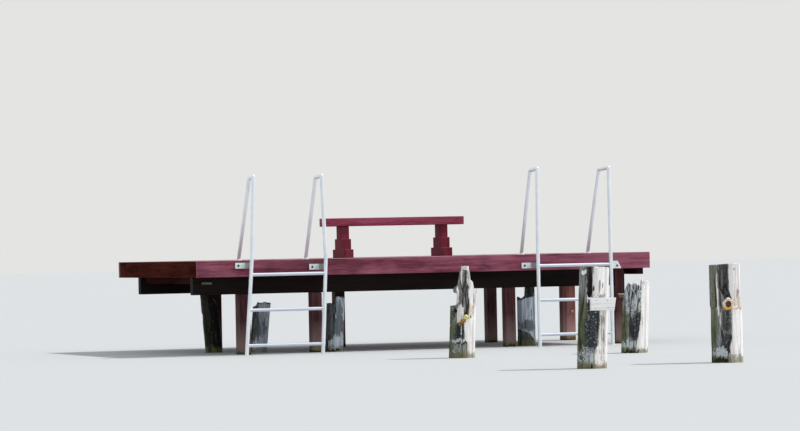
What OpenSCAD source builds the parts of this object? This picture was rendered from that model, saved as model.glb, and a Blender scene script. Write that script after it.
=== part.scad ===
// A timber bathing and boat jetty on square posts, with a fixed bench, two
// tube ladders and the weathered round piles of an older jetty.
// Millimetres, +Z up. The origin is the centre of the foot of the front left
// post, at water level. X runs along the front edge, Y runs towards the shore.

/* [Deck] */
// Length of the deck along its front edge
deck_l = 4450; // [4200:10:5000]
// Depth of the deck from the water side to the shore side
deck_d = 2600; // [2500:10:3200]
// Height of the deck above the water
deck_h = 860; // [820:5:1100]
// Overhang of the deck to the left of the first post
left_overhang = 495; // [400:5:520]
// Overhang of the deck to the right of the last front post's centre
right_overhang = 245; // [180:5:300]
// Overhang of the deck in front of the front posts' centres
front_overhang = 210; // [180:5:260]
// Thickness of a deck board
board_t = 28; // [22:1:40]
// Gap between two deck boards
board_gap = 6; // [3:1:10]
// Number of deck boards, counted from the water side
board_count = 17; // [15:1:20]
// Height of the boards that close the deck's edges
fascia_h = 150; // [140:5:160]
// Thickness of the boards that close the deck's edges
fascia_t = 50; // [30:5:60]

/* [Frame] */
// Number of joists between the two edge joists
inner_joists = 6; // [4:1:8]
// Width of a joist
joist_w = 60; // [45:5:80]
// Height of a joist
joist_h = 120; // [100:5:140]
// Height of the two main beams
beam_h = 160; // [120:5:180]
// Width of the two main beams
beam_w = 80; // [60:5:100]
// Height of the batten that stiffens each edge joist from below
bearer_h = 60; // [40:5:80]

/* [Posts] */
// Side of a square post
post_w = 100; // [90:5:120]
// Depth of the front left post
corner_post_d = 145; // [100:5:180]
// Depth of the doubling post behind the rear right post
doubling_d = 80; // [60:5:90]
// Distance from the front row of posts to the rear row
row_gap = 1690; // [1500:10:1900]
// Distance between the two front posts beside the left ladder
left_bay = 690; // [600:5:750]
// Distance between the two front posts beside the right ladder
right_bay = 1110; // [1000:5:1200]

/* [Bench] */
// Distance from the deck's water side to the middle of the bench
bench_back = 1150; // [900:10:1500]
// Length of the seat beam
seat_l = 1410; // [1250:10:1600]
// Depth of the seat beam
seat_d = 145; // [115:5:200]
// Thickness of the seat beam
seat_t = 78; // [50:2:90]
// Height of the seat's top above the deck
seat_h = 376; // [340:2:460]
// Width of the bench's legs and feet
leg_w = 90; // [80:5:110]
// Depth of a bench leg
leg_d = 110; // [100:5:130]
// Distance between the centres of the two bench legs
leg_span = 995; // [850:5:1050]
// Depth of the foot beam under each leg
foot_d = 345; // [300:5:400]
// Height of the foot beam
foot_h = 80; // [60:5:100]
// Depth of the block between the foot beam and the leg
block_d = 215; // [180:5:260]
// Height of that block
block_h = 98; // [80:1:120]

/* [Ladders] */
// Outer diameter of the ladders' rails
rail_od = 34; // [30:1:42]
// Outer diameter of the rungs
rung_od = 30; // [25:1:32]
// Distance from the front of the deck to the rails' centres
rail_reach = 130; // [110:5:150]
// Distance between two rungs
rung_pitch = 320; // [280:5:330]
// Height of the lowest rung of the left ladder above the water
rung_low_left = 88; // [60:1:120]
// Height of the lowest rung of the right ladder above the water
rung_low_right = 112; // [60:1:130]
// Height of the left ladder's handrails above the deck
hand_h_left = 755; // [700:5:900]
// Height of the right ladder's handrails above the deck
hand_h_right = 795; // [700:5:900]
// Nearly level stretch at the top of the left ladder's handrails
link_left = 150; // [110:5:200]
// The same of the right ladder's handrails
link_right = 205; // [150:5:240]
// Distance from a stile to the rear foot of its handrail
foot_reach = 490; // [400:5:560]
// Height of the flat bar that the brackets are bent from
bar_h = 52; // [40:1:60]
// Thickness of that flat bar
bar_t = 6; // [5:1:8]
// Length of a bracket's plate on the front board
plate_l = 100; // [80:5:130]
// Length of the larger plate beside the right ladder's right stile
wide_plate_l = 143; // [110:1:170]
// Height of that larger plate
wide_plate_h = 70; // [60:1:90]
// Depth below the deck of the left ladder's left bracket, at its lower edge
drop_left = 74; // [60:1:100]
// Depth below the deck of the left ladder's right bracket
drop_inner = 98; // [60:1:110]
// Depth below the deck of the right ladder's left bracket
drop_right = 130; // [70:1:140]
// Depth below the deck of the right ladder's larger bracket
drop_wide = 148; // [90:1:150]

/* [Old piles] */
// Radius of the piles left standing under the deck
under_r = 88; // [80:1:100]
// Height of the broken pile under the deck
broken_h = 470; // [350:5:530]
// Height of the broken pile beside the left ladder
split_h = 512; // [420:2:530]
// Radius of the split stump in front of the left half of the deck
stump_r = 115; // [100:1:130]
// Height of the stump's last spike
stump_h = 782; // [700:2:900]
// Distance of the stump to the right of the front left post
stump_x = 996; // [800:2:1200]
// Distance of the stump in front of the front posts
stump_out = 2954; // [2500:2:3500]
// Radius of the pile in front of the right half of the deck
right_r = 116; // [100:1:130]
// Height of the slab left standing on that pile
right_h = 634; // [560:2:760]
// Distance of that pile to the right of the front left post
right_x = 2549; // [2300:2:2800]
// Distance of that pile in front of the front posts
right_out = 3044; // [2500:2:3500]
// Radius of the outermost pile that carries a nailed board
tagged_r = 113; // [100:1:130]
// Height of that pile
tagged_h = 776; // [700:2:900]
// Distance of that pile to the right of the front left post
tagged_x = 669; // [500:2:900]
// Distance of that pile in front of the front posts
tagged_out = 6573; // [6000:2:7000]
// Radius of the outermost pile furthest to the right
far_r = 121; // [105:1:135]
// Height of that pile
far_h = 774; // [700:2:900]
// Distance of that pile to the right of the front left post
far_x = 1962; // [1700:2:2200]
// Distance of that pile in front of the front posts
far_out = 6210; // [5700:2:6700]
// Width of the nailed board
tag_w = 233; // [200:1:260]
// Height of the nailed board
tag_h = 98; // [80:1:120]
// Thickness of the nailed board
tag_t = 24; // [15:1:30]
// Height of the nailed board's lower edge above the water
tag_low = 440; // [380:2:520]

/* [Hidden] */
$fn = 32;

wine = "#7b3a48";
wine_dark = "#4a1f26";
shade = "#2b1a17";
plank = "#8a5a58";
bleached = "#b9b4a6";
galvanised = "#cfd8dd";

// Deck outline
left = -left_overhang;
right = left + deck_l;
front = -front_overhang;
rear = front + deck_d;
deck_under = deck_h - board_t;
joist_under = deck_under - joist_h;
beam_under = joist_under - beam_h;
board_w = (deck_d - 2 * fascia_t - (board_count - 1) * board_gap) / board_count;
board_pitch = board_w + board_gap;
first_third = floor(board_count / 3);
second_third = floor(2 * board_count / 3);

// Joists
edge_joist_x = left + fascia_t;
joist_run = deck_l - 2 * fascia_t - joist_w;
joist_pitch = joist_run / (inner_joists + 1);
beam_y = -post_w / 2;
rear_beam_y = row_gap - post_w / 2;

// Post positions along X
ladder_post_x = left_bay;
right_post_x = right - right_overhang;
middle_post_x = right_post_x - right_bay;
rear_left_x = 255;
rear_middle_x = 1500;
rear_inner_x = right_post_x - 635;
rear_right_x = right - post_w / 2;

// Bench, a little to the right of the deck's middle
bench_x = left + deck_l / 2 + 66;
bench_y = front + bench_back;
leg_h = seat_h - seat_t - foot_h - block_h;

// Ladders: foot, deck and top positions of the rails' centres along X
rail_y = front - rail_reach;
rail_r = rail_od / 2;
left_rails = [[-87, -21, 8], [640, 686, 659]];
right_rails = [for (rail = [[-941, -943, -935], [-206, -210, -215]])
    [for (offset = rail) right_post_x + offset]];
hand_fall = 15;
corner_r = rail_r + 0.5;
toe_in = 3.4;
bolt_r = 5.5;
bolt_up = 25;

// Broken tops are drawn as seen from the left front, turned by this much
sight = -20;
// Slant of the outer piles to the right
pile_lean = 2.6;
// Share of its radius at which a pile is hewn flat under the nailed board
hewn = 0.9;

module beam(x, y, z, lx, ly, lz) {
    translate([x, y, z]) cube([lx, ly, lz]);
}

module edge_board(x, y, lx, ly) {
    beam(x, y, deck_h - fascia_h, lx, ly, fascia_h);
}

module front_fascia() {
    color(wine) edge_board(left, front, deck_l, fascia_t);
}

module left_side_board() {
    color(wine_dark) edge_board(left, front + fascia_t, fascia_t, deck_d - 2 * fascia_t);
}

module right_side_board() {
    color(wine) edge_board(right - fascia_t, front + fascia_t, fascia_t, deck_d - 2 * fascia_t);
}

module rear_board() {
    color(wine_dark) edge_board(left, rear - fascia_t, deck_l, fascia_t);
}

// Deck boards from number a up to, but not including, number b
module deck_boards(a, b) {
    for (i = [a : b - 1])
        beam(left + fascia_t, front + fascia_t + i * board_pitch, deck_under,
            deck_l - 2 * fascia_t, board_w, board_t);
}

module deck_boards_front() {
    color(plank) deck_boards(0, first_third);
}

module deck_boards_middle() {
    color(plank) deck_boards(first_third, second_third);
}

module deck_boards_rear() {
    color(plank) deck_boards(second_third, board_count);
}

module joist(x) {
    beam(x, front + fascia_t, joist_under, joist_w, deck_d - 2 * fascia_t, joist_h);
}

// An edge joist with the batten that stiffens it, from a given Y to the rear beam
module edge_joist(x, start_y) {
    joist(x);
    beam(x, start_y, joist_under - bearer_h, joist_w, rear_beam_y - start_y, bearer_h);
}

module edge_joist_left() {
    color(shade) edge_joist(edge_joist_x, beam_y + beam_w);
}

module edge_joist_right() {
    color(shade) edge_joist(edge_joist_x + joist_run, front + fascia_t);
}

module inner_joists_left() {
    color(shade) for (i = [1 : inner_joists / 2]) joist(edge_joist_x + i * joist_pitch);
}

module inner_joists_right() {
    color(shade) for (i = [inner_joists / 2 + 1 : inner_joists]) joist(edge_joist_x + i * joist_pitch);
}

module front_beam() {
    color(shade) beam(left, beam_y, beam_under, right_post_x - post_w / 2 - left, beam_w, beam_h);
}

module rear_beam() {
    color(shade) beam(left, rear_beam_y, beam_under, deck_l, beam_w, beam_h);
}

module post(x, y, h) {
    beam(x - post_w / 2, y - post_w / 2, 0, post_w, post_w, h);
}

module front_post_left() {
    color(wine) beam(-post_w / 2, -post_w / 2, 0, post_w, corner_post_d, beam_under);
}

module front_post_ladder() {
    color(wine) post(ladder_post_x, 0, beam_under);
}

module front_post_middle() {
    color(wine) post(middle_post_x, 0, beam_under);
}

module front_post_right() {
    color(wine) post(right_post_x, 0, joist_under);
}

module rear_post_left() {
    color(wine_dark) post(rear_left_x, row_gap, beam_under);
}

module rear_post_middle() {
    color(wine_dark) post(rear_middle_x, row_gap, beam_under);
}

module rear_post_inner() {
    color(wine_dark) post(rear_inner_x, row_gap, beam_under);
}

module rear_post_right() {
    color(wine) post(rear_right_x, row_gap, beam_under);
}

// Stands behind the rear right post, runs up past the rear beam and carries the edge joist
module rear_post_doubling() {
    color(wine_dark) beam(right - post_w, row_gap + post_w / 2, 0, post_w, doubling_d, joist_under);
}

// Uneven outline of a round log: two slow waves on a circle, with drying cracks
function log_outline(r, turn, n = 48) = [for (i = [0 : n - 1])
    let (a = 360 * i / n, crack = i % 9 == 4 ? 0.88 : 1)
    r * crack * (1 + 0.04 * sin(2 * a + turn) + 0.025 * sin(5 * a + 2 * turn)) * [cos(a), sin(a)]];

// A log standing on the water level at a point, slanting to the right, up to height h
module log_trunk(x, y, r, h, turn, lean = 0) {
    intersection() {
        translate([x, y, 0]) rotate([0, lean, 0]) translate([0, 0, -r])
            linear_extrude(height = h + 3 * r) polygon(log_outline(r, turn));
        translate([x - h - r, y - 2 * r, 0]) cube([2 * h + 2 * r, 4 * r, h]);
    }
}

// Prism below a broken top. Each point is a share of the pile's radius and of its height
module broken_top(x, y, r, h, points) {
    translate([x, y, 0]) rotate([0, 0, sight]) translate([0, 1.6 * r, 0]) rotate([90, 0, 0])
        linear_extrude(height = 3.2 * r)
            polygon(concat([[1.6 * r, -1], [-1.6 * r, -1]], [for (p = points) [p[0] * r, p[1] * h]]));
}

// The same across the line of sight: its points go from the near side to the far side
module side_slope(x, y, r, h, points) {
    translate([x, y, 0]) rotate([0, 0, sight]) translate([-1.6 * r, 0, 0]) rotate([90, 0, 90])
        linear_extrude(height = 3.2 * r)
            polygon(concat([[1.6 * r, -1], [-1.6 * r, -1]], [for (p = points) [p[0] * r, p[1] * h]]));
}

// Rotted hollow that opens to the left front and reaches to a depth, a share of the radius
module hollow(x, y, r, h, depth, points) {
    translate([x, y, 0]) rotate([0, 0, sight]) translate([0, (depth - 1) * r, 0]) rotate([90, 0, 0])
        linear_extrude(height = 1.2 * r) polygon([for (p = points) [p[0] * r, p[1] * h]]);
}

module under_pile_leaning() {
    color(bleached) log_trunk(15, 990, under_r * 0.92, joist_under, 40, -4.6);
}

// Broken off flat, with a lower shoulder on its left
module under_pile_broken() {
    x = 318;
    y = 590;
    r = under_r * 0.93;
    color(bleached) intersection() {
        log_trunk(x, y, r, broken_h, 100, 5.9);
        broken_top(x, y, r, broken_h, [[-1.6, 0.9], [-0.25, 0.92], [-0.1, 0.94], [0.02, 1], [0.4, 0.98],
            [0.9, 1], [1.6, 0.98]]);
    }
}

// Split down its middle, the left half broken off lower
module under_pile_left() {
    x = 920;
    y = 160;
    r = under_r * 0.96;
    color(bleached) intersection() {
        log_trunk(x, y, r, split_h, 150, 3);
        broken_top(x, y, r, split_h, [[-1.6, 0.87], [-0.3, 0.885], [0.18, 0.875], [0.24, 0.985], [0.4, 1],
            [1.6, 0.99]]);
    }
}

// A slab of it still reaches the joists, the left part has broken away
module under_pile_right() {
    x = right_post_x - 871;
    y = 160;
    color(bleached) intersection() {
        log_trunk(x, y, under_r, joist_under, 220);
        broken_top(x, y, under_r, joist_under, [[-1.6, 0.64], [-0.8, 0.655], [-0.55, 0.63], [-0.2, 0.655],
            [-0.16, 0.75], [-0.1, 0.78], [-0.08, 1], [1.6, 1]]);
    }
}

// Split stump: a stub on the left, a barb and a tall spike, and a narrow prong on the right
module outer_pile_stump() {
    color(bleached) intersection() {
        log_trunk(stump_x, -stump_out, stump_r, stump_h, 20, pile_lean);
        broken_top(stump_x, -stump_out, stump_r, stump_h, [[-1.6, 0.57], [-0.4, 0.57], [-0.34, 0.6],
            [-0.3, 0.71], [-0.6, 0.75], [-0.24, 0.8], [-0.02, 0.98], [0.07, 1], [0.64, 1], [0.77, 0.85],
            [0.93, 0.82], [1, 0.77], [1.02, 0.71], [1.08, 0.71], [1.2, 0.76], [1.6, 0.66]]);
        side_slope(stump_x, -stump_out, stump_r, stump_h, [[-1.6, 0.5], [-0.75, 0.76], [-0.5, 1.02],
            [0.35, 1.02], [0.65, 0.88], [0.95, 0.69], [1.6, 0.66]]);
    }
}

// A slab stands up on the right, parted by a crack from the ragged left half
module outer_pile_right() {
    color(bleached) intersection() {
        log_trunk(right_x, -right_out, right_r, right_h, 75, pile_lean);
        broken_top(right_x, -right_out, right_r, right_h, [[-1.6, 0.6], [-0.82, 0.71], [-0.56, 0.885],
            [-0.33, 0.965], [-0.1, 0.93], [0.05, 0.96], [0.14, 0.955], [0.3, 0.94], [0.36, 0.9], [0.42, 0.935],
            [0.47, 0.86], [0.54, 0.86], [0.57, 1], [1.6, 1]]);
        side_slope(right_x, -right_out, right_r, right_h, [[-1.6, 0.9], [-0.7, 0.97], [-0.2, 1.02],
            [0.5, 0.98], [1.6, 0.8]]);
    }
}

module outer_pile_tagged() {
    color(bleached) difference() {
        intersection() {
            log_trunk(tagged_x, -tagged_out, tagged_r, tagged_h, 130, pile_lean);
            broken_top(tagged_x, -tagged_out, tagged_r, tagged_h, [[-1.6, 0.98], [-0.5, 1], [0.4, 1],
                [1.6, 0.985]]);
        }
        // Deep cleft out of the top and a shorter one beside it
        hollow(tagged_x, -tagged_out, tagged_r, tagged_h, 0.95, [[-0.24, 0.73], [-0.1, 0.7], [0.06, 0.73],
            [0.1, 0.86], [0.08, 1.02], [-0.25, 1.02], [-0.2, 0.86]]);
        hollow(tagged_x, -tagged_out, tagged_r, tagged_h, 0.35, [[-0.5, 0.95], [-0.39, 0.83],
            [-0.31, 0.84], [-0.4, 0.96]]);
        // Flat hewn for the nailed board
        translate([tagged_x - 2 * tagged_r, -tagged_out - 2 * tagged_r, tag_low - 6])
            cube([4 * tagged_r, (2 - hewn) * tagged_r, tag_h + 12]);
    }
}

// Thicker below, with a long hollow that widens downwards to the right
module outer_pile_far_right() {
    color(bleached) difference() {
        union() {
            log_trunk(far_x, -far_out, far_r * 1.1, far_h * 0.56, 200);
            intersection() {
                log_trunk(far_x, -far_out, far_r, far_h, 200);
                broken_top(far_x, -far_out, far_r, far_h, [[-1.6, 0.985], [-0.5, 0.99], [0.4, 1],
                    [1.6, 0.99]]);
            }
        }
        hollow(far_x, -far_out, far_r, far_h, 0.6, [[-0.43, 1.02], [0.11, 1.02], [0.09, 0.76],
            [0.36, 0.62], [0.3, 0.6], [-0.1, 0.66], [-0.45, 0.75]]);
    }
}

// Board nailed to the hewn flat, sagging to the right. Its right end is sawn aslant, its left
// end has split away below a splinter
module pile_tag_board() {
    slant = 14;
    split_l = 27;
    splinter_h = 16;
    centre_x = tagged_x + tag_low * tan(pile_lean) + 23;
    color(bleached) translate([centre_x, -tagged_out - hewn * tagged_r, tag_low + tag_h / 2])
        rotate([0, 1.2, 0]) rotate([90, 0, 0]) linear_extrude(height = tag_t)
            polygon([[split_l - tag_w / 2, -tag_h / 2], [tag_w / 2 - slant, -tag_h / 2],
                [tag_w / 2, tag_h / 2], [-tag_w / 2, tag_h / 2], [-tag_w / 2, tag_h / 2 - splinter_h / 2],
                [split_l - tag_w / 2, tag_h / 2 - splinter_h]]);
}

module bench_seat() {
    color(wine) beam(bench_x - seat_l / 2, bench_y - seat_d / 2, deck_h + seat_h - seat_t,
        seat_l, seat_d, seat_t);
}

// Foot beam, block and leg, one on the other, all of one width
module bench_support(x) {
    color(wine) for (tier = [[foot_d, 0, foot_h], [block_d, foot_h, block_h],
        [leg_d, foot_h + block_h, leg_h]])
        beam(x - leg_w / 2, bench_y - tier[0] / 2, deck_h + tier[1], leg_w, tier[0], tier[2]);
}

module bench_support_left() {
    bench_support(bench_x - leg_span / 2);
}

module bench_support_right() {
    bench_support(bench_x + leg_span / 2);
}

// Straight rod from point a to point b
module rod(a, b, r) {
    v = b - a;
    l = norm(v);
    translate(a) rotate([0, acos(v[2] / l), atan2(v[1], v[0])]) cylinder(h = l, r = r);
}

// Tube in the YZ plane from a point [y, z], tilted from +Z towards +Y
module run(point, tilt, l) {
    translate([0, point[0], point[1]]) rotate([-tilt, 0, 0]) cylinder(h = l, r = rail_r);
}

// Handrail in the YZ plane: up, back with a slight fall and down again, with close rounded corners
module hoop(h, link) {
    knee = [link, h - hand_fall];
    leg = [foot_reach - link, knee[1]];
    run([0, -rail_od], 0, h + rail_od);
    translate([0, 0, h]) sphere(r = corner_r);
    run([0, h], 90 + atan(hand_fall / link), norm([link, hand_fall]));
    translate([0, knee[0], knee[1]]) sphere(r = corner_r);
    run(knee, 180 - atan(leg[0] / leg[1]), norm(leg) + rail_od);
}

// A hoop that leans with its stile and toes in, cut off level on the deck
module handrail(x, h, link, inward) {
    lean = atan((x[2] - x[1]) / h);
    difference() {
        translate([x[1], rail_y, deck_h]) mirror([inward > 0 ? 1 : 0, 0, 0])
            rotate([0, -inward * lean, toe_in]) hoop(h, link);
        translate([x[1] - h, rail_y - rail_od, deck_h - 4 * rail_od])
            cube([2 * h, foot_reach + 4 * rail_od, 4 * rail_od]);
    }
}

// The two stiles, from the water level to the deck's level
module stiles(rails) {
    intersection() {
        for (x = rails)
            rod([rail_x(x, -60), rail_y, -60], [rail_x(x, deck_h + 60), rail_y, deck_h + 60], rail_r);
        translate([rails[0][0] - deck_h, rail_y - rail_od, 0])
            cube([rails[1][0] - rails[0][0] + 2 * deck_h, 2 * rail_od, deck_h]);
    }
}

module ladder_left_stiles() {
    color(galvanised) stiles(left_rails);
}

module ladder_left_handrail_left() {
    color(galvanised) handrail(left_rails[0], hand_h_left, link_left, 1);
}

module ladder_left_handrail_right() {
    color(galvanised) handrail(left_rails[1], hand_h_left, link_left, -1);
}

module ladder_right_stiles() {
    color(galvanised) stiles(right_rails);
}

module ladder_right_handrail_left() {
    color(galvanised) handrail(right_rails[0], hand_h_right, link_right, 1);
}

module ladder_right_handrail_right() {
    color(galvanised) handrail(right_rails[1], hand_h_right, link_right, -1);
}

// Centre of a rail below the deck at height z
function rail_x(x, z) = x[0] + (x[1] - x[0]) * z / deck_h;

// Three rungs, each coped to the two stiles
module rungs(rails, low) {
    difference() {
        for (i = [0 : 2]) {
            z = low + i * rung_pitch;
            rod([rail_x(rails[0], z), rail_y, z], [rail_x(rails[1], z), rail_y, z], rung_od / 2);
        }
        for (x = rails)
            rod([rail_x(x, -50), rail_y, -50], [rail_x(x, deck_h), rail_y, deck_h], rail_r + 0.2);
    }
}

module ladder_left_rungs() {
    color(galvanised) rungs(left_rails, rung_low_left);
}

module ladder_right_rungs() {
    color(galvanised) rungs(right_rails, rung_low_right);
}

// Bent flat bar: arm out to the stile, plate with two bolt holes on the front board
module bracket(x, drop, side, l, h, slant = 0) {
    z = deck_h - drop;
    edge = rail_x(x, z + h / 2) - side * (rail_r - 2);
    difference() {
        translate([edge, 0, z]) mirror([side > 0 ? 0 : 1, 0, 0]) {
            beam(-bar_t, rail_y - 10, 0, bar_t, front - rail_y + 10, h);
            translate([0, front, 0]) rotate([90, 0, 0]) linear_extrude(height = bar_t)
                bracket_plate(l, h, slant);
        }
        rod([rail_x(x, 0), rail_y, 0], [x[1], rail_y, deck_h], rail_r + 0.2);
    }
}

// Outline of a plate, with the top of its outer end cut aslant
module bracket_plate(l, h, slant) {
    difference() {
        polygon([[0, 0], [0, h], [slant - l, h], [-l, 0]]);
        for (share = [0.3, 0.7])
            translate([-l * share, bolt_up]) circle(r = bolt_r);
    }
}

module ladder_left_brackets() {
    color(galvanised) {
        bracket(left_rails[0], drop_left, 1, plate_l, bar_h);
        bracket(left_rails[1], drop_inner, 1, plate_l, bar_h);
    }
}

module ladder_right_brackets() {
    color(galvanised) {
        bracket(right_rails[0], drop_right, 1, plate_l, bar_h);
        bracket(right_rails[1], drop_wide, -1, wide_plate_l, wide_plate_h, wide_plate_h / 2);
    }
}

front_fascia();
left_side_board();
right_side_board();
rear_board();
deck_boards_front();
deck_boards_middle();
deck_boards_rear();
edge_joist_left();
edge_joist_right();
inner_joists_left();
inner_joists_right();
front_beam();
rear_beam();
front_post_left();
front_post_ladder();
front_post_middle();
front_post_right();
rear_post_left();
rear_post_middle();
rear_post_inner();
rear_post_right();
rear_post_doubling();
under_pile_leaning();
under_pile_broken();
under_pile_left();
under_pile_right();
outer_pile_stump();
outer_pile_right();
outer_pile_tagged();
outer_pile_far_right();
pile_tag_board();
bench_seat();
bench_support_left();
bench_support_right();
ladder_left_stiles();
ladder_left_handrail_left();
ladder_left_handrail_right();
ladder_left_rungs();
ladder_left_brackets();
ladder_right_stiles();
ladder_right_handrail_left();
ladder_right_handrail_right();
ladder_right_rungs();
ladder_right_brackets();
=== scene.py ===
# %% [markdown]
# # The looks of a weathered timber jetty
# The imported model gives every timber, tube and pile at its real size. This lesson
# dresses it: rounded arrises on the stained boards, carved and bleached old piles,
# screws, bolts and welds, and a finish for each surface.

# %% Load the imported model
import math
import random

import bmesh
import bpy
import numpy as np
from mathutils import Matrix, Vector, bvhtree, noise


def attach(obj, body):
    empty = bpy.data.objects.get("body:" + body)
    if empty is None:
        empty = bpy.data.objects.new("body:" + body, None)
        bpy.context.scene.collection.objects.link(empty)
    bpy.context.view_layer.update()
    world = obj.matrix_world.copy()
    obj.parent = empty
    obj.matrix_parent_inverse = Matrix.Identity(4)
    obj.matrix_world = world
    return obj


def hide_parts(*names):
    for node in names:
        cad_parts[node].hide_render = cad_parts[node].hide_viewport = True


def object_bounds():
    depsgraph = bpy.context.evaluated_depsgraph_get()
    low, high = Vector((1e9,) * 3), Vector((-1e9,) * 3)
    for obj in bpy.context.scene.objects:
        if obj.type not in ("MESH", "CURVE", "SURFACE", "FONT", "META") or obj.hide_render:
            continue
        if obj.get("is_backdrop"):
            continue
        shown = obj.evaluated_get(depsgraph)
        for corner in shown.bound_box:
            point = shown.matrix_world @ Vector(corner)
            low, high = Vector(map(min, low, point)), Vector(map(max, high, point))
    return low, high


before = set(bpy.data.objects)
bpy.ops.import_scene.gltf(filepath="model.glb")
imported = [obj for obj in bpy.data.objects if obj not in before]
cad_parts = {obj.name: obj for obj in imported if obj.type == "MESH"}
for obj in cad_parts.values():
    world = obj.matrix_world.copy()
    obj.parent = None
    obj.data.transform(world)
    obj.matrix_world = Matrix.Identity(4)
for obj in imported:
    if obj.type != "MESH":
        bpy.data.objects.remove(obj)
cad_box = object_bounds()
scene = bpy.context.scene
MM = 0.001
print("nodes:", len(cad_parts))

# %% [markdown]
# ## The camera
# The jetty was seen from a long way off over the water, from the left front, with a
# long lens that was tilted a little to the right. A camera is easiest to place by its
# eye point and three angles, so that the lens and the turn can be checked apart.

# %% Place the camera
EYE = Vector((-10.853, -34.039, 0.952))
LENS_MM = 176.09
TURN_RIGHT = math.radians(20.0)
LOOK_UP = math.radians(0.4612)
ROLL = math.radians(1.163)

forward = Vector((math.sin(TURN_RIGHT) * math.cos(LOOK_UP), math.cos(TURN_RIGHT) * math.cos(LOOK_UP),
                  math.sin(LOOK_UP)))
level_right = Vector((math.cos(TURN_RIGHT), -math.sin(TURN_RIGHT), 0.0))
level_up = level_right.cross(forward)
right_axis = math.cos(ROLL) * level_right - math.sin(ROLL) * level_up
up_axis = right_axis.cross(forward)

camera = bpy.data.objects.new("camera", bpy.data.cameras.new("camera"))
camera.data.lens = LENS_MM
camera.data.clip_end = 500.0
turned = Matrix((right_axis, up_axis, -forward)).transposed().to_4x4()
camera.matrix_world = Matrix.Translation(EYE) @ turned
scene.collection.objects.link(camera)
scene.camera = camera
DECK_FRONT = Vector((1.73, 0.0, 0.7))
print("camera distance to the deck:", round((DECK_FRONT - EYE).length, 2), "m")

# %% [markdown]
# ## Helpers for materials
# Colours are easiest to read as sRGB hex values, while the nodes calculate with
# linear light, so one function turns the first into the second. A second one adds a
# node, sets it and links it. Every finish is then built like coats of paint: a first
# colour, and over it layers that each show where a pattern lies within a range.

# %% Colours and nodes
def linear(hex_colour):
    """An sRGB hex colour as the four linear numbers that a colour socket takes."""
    channels = [int(hex_colour[i:i + 2], 16) / 255 for i in (1, 3, 5)]
    return [c / 12.92 if c <= 0.04045 else ((c + 0.055) / 1.055) ** 2.4 for c in channels] + [1.0]


def add(tree, kind, inputs, **settings):
    """A new node with its settings, and its inputs set to values or linked to sockets."""
    made = tree.nodes.new(kind)
    for name, value in settings.items():
        setattr(made, name, value)
    for key, value in inputs.items():
        if isinstance(value, bpy.types.NodeSocket):
            tree.links.new(value, made.inputs[key])
        elif isinstance(value, str):
            made.inputs[key].default_value = linear(value)
        else:
            made.inputs[key].default_value = value
    return made


def new_finish(name):
    """An empty material: its tree, its shader and the Object coordinates."""
    material = bpy.data.materials.new(name)
    material.use_nodes = True
    tree = material.node_tree
    place = add(tree, "ShaderNodeTexCoord", {}).outputs["Object"]
    return material, tree, tree.nodes["Principled BSDF"], place


def ragged_height(tree, place, patch_mm, rise):
    """The height above the water with a noise added to it, and that noise by itself."""
    height = add(tree, "ShaderNodeSeparateXYZ", {0: place}).outputs["Z"]
    ragged = add(tree, "ShaderNodeTexNoise", {
        "Vector": place, "Scale": 1000 / patch_mm, "Detail": 3}).outputs["Fac"]
    level = add(tree, "ShaderNodeMath", {0: ragged, 1: rise, 2: height},
                operation="MULTIPLY_ADD").outputs[0]
    return level, ragged


def layered(tree, base, layers):
    """Colours laid over one another, each as far as its pattern lets it show.

    A layer is its pattern, the two values that the pattern is read between, how much of
    the layer shows at the first and at the second, and its colour.
    """
    for pattern, low, high, shown_low, shown_high, colour in layers:
        mask = add(tree, "ShaderNodeMapRange", {
            "Value": pattern, "From Min": low, "From Max": high,
            "To Min": shown_low, "To Max": shown_high}).outputs[0]
        base = add(tree, "ShaderNodeMix", {0: mask, 6: base, 7: colour}, data_type="RGBA").outputs[2]
    return base


print("wine red in linear light:", [round(c, 3) for c in linear("#7b3a48")])

# %% [markdown]
# ## Stained timber
# The jetty's squared timber carries a wine-red wood stain, brushed on and faded by
# sun and rain. Stain soaks in, so the grain stays visible: dark, narrow late wood and
# paler early wood, drawn out along the board. Noise that is stretched along one axis
# draws that grain. Broader noise of the same direction lets the stain fade in streaks,
# low-pitched noise gives worn and dark patches, and a sparse cell pattern the knots.
# Faces that look up the most are paled by the surface normal: partly the wear of rain
# and feet, partly a painted highlight where the sun catches their tops.

# %% The stain and the marks of the water
GRAIN_MM = 7
GRAIN_RATIO = 22
STREAK_MM = 30
PATCH_MM = 260
PATCH_RATIO = 3.5
BEND_MM = 260
BEND_SHARE = (0.03, 0.03, 0.03)
KNOT_SPACING_MM = 430
TONE_SHIFT = (9.0, 9.0, 9.0)
RELIEF_MM = 1.5
WATERLINE_MM = 45
WATERLINE_RISE = 0.09


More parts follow.
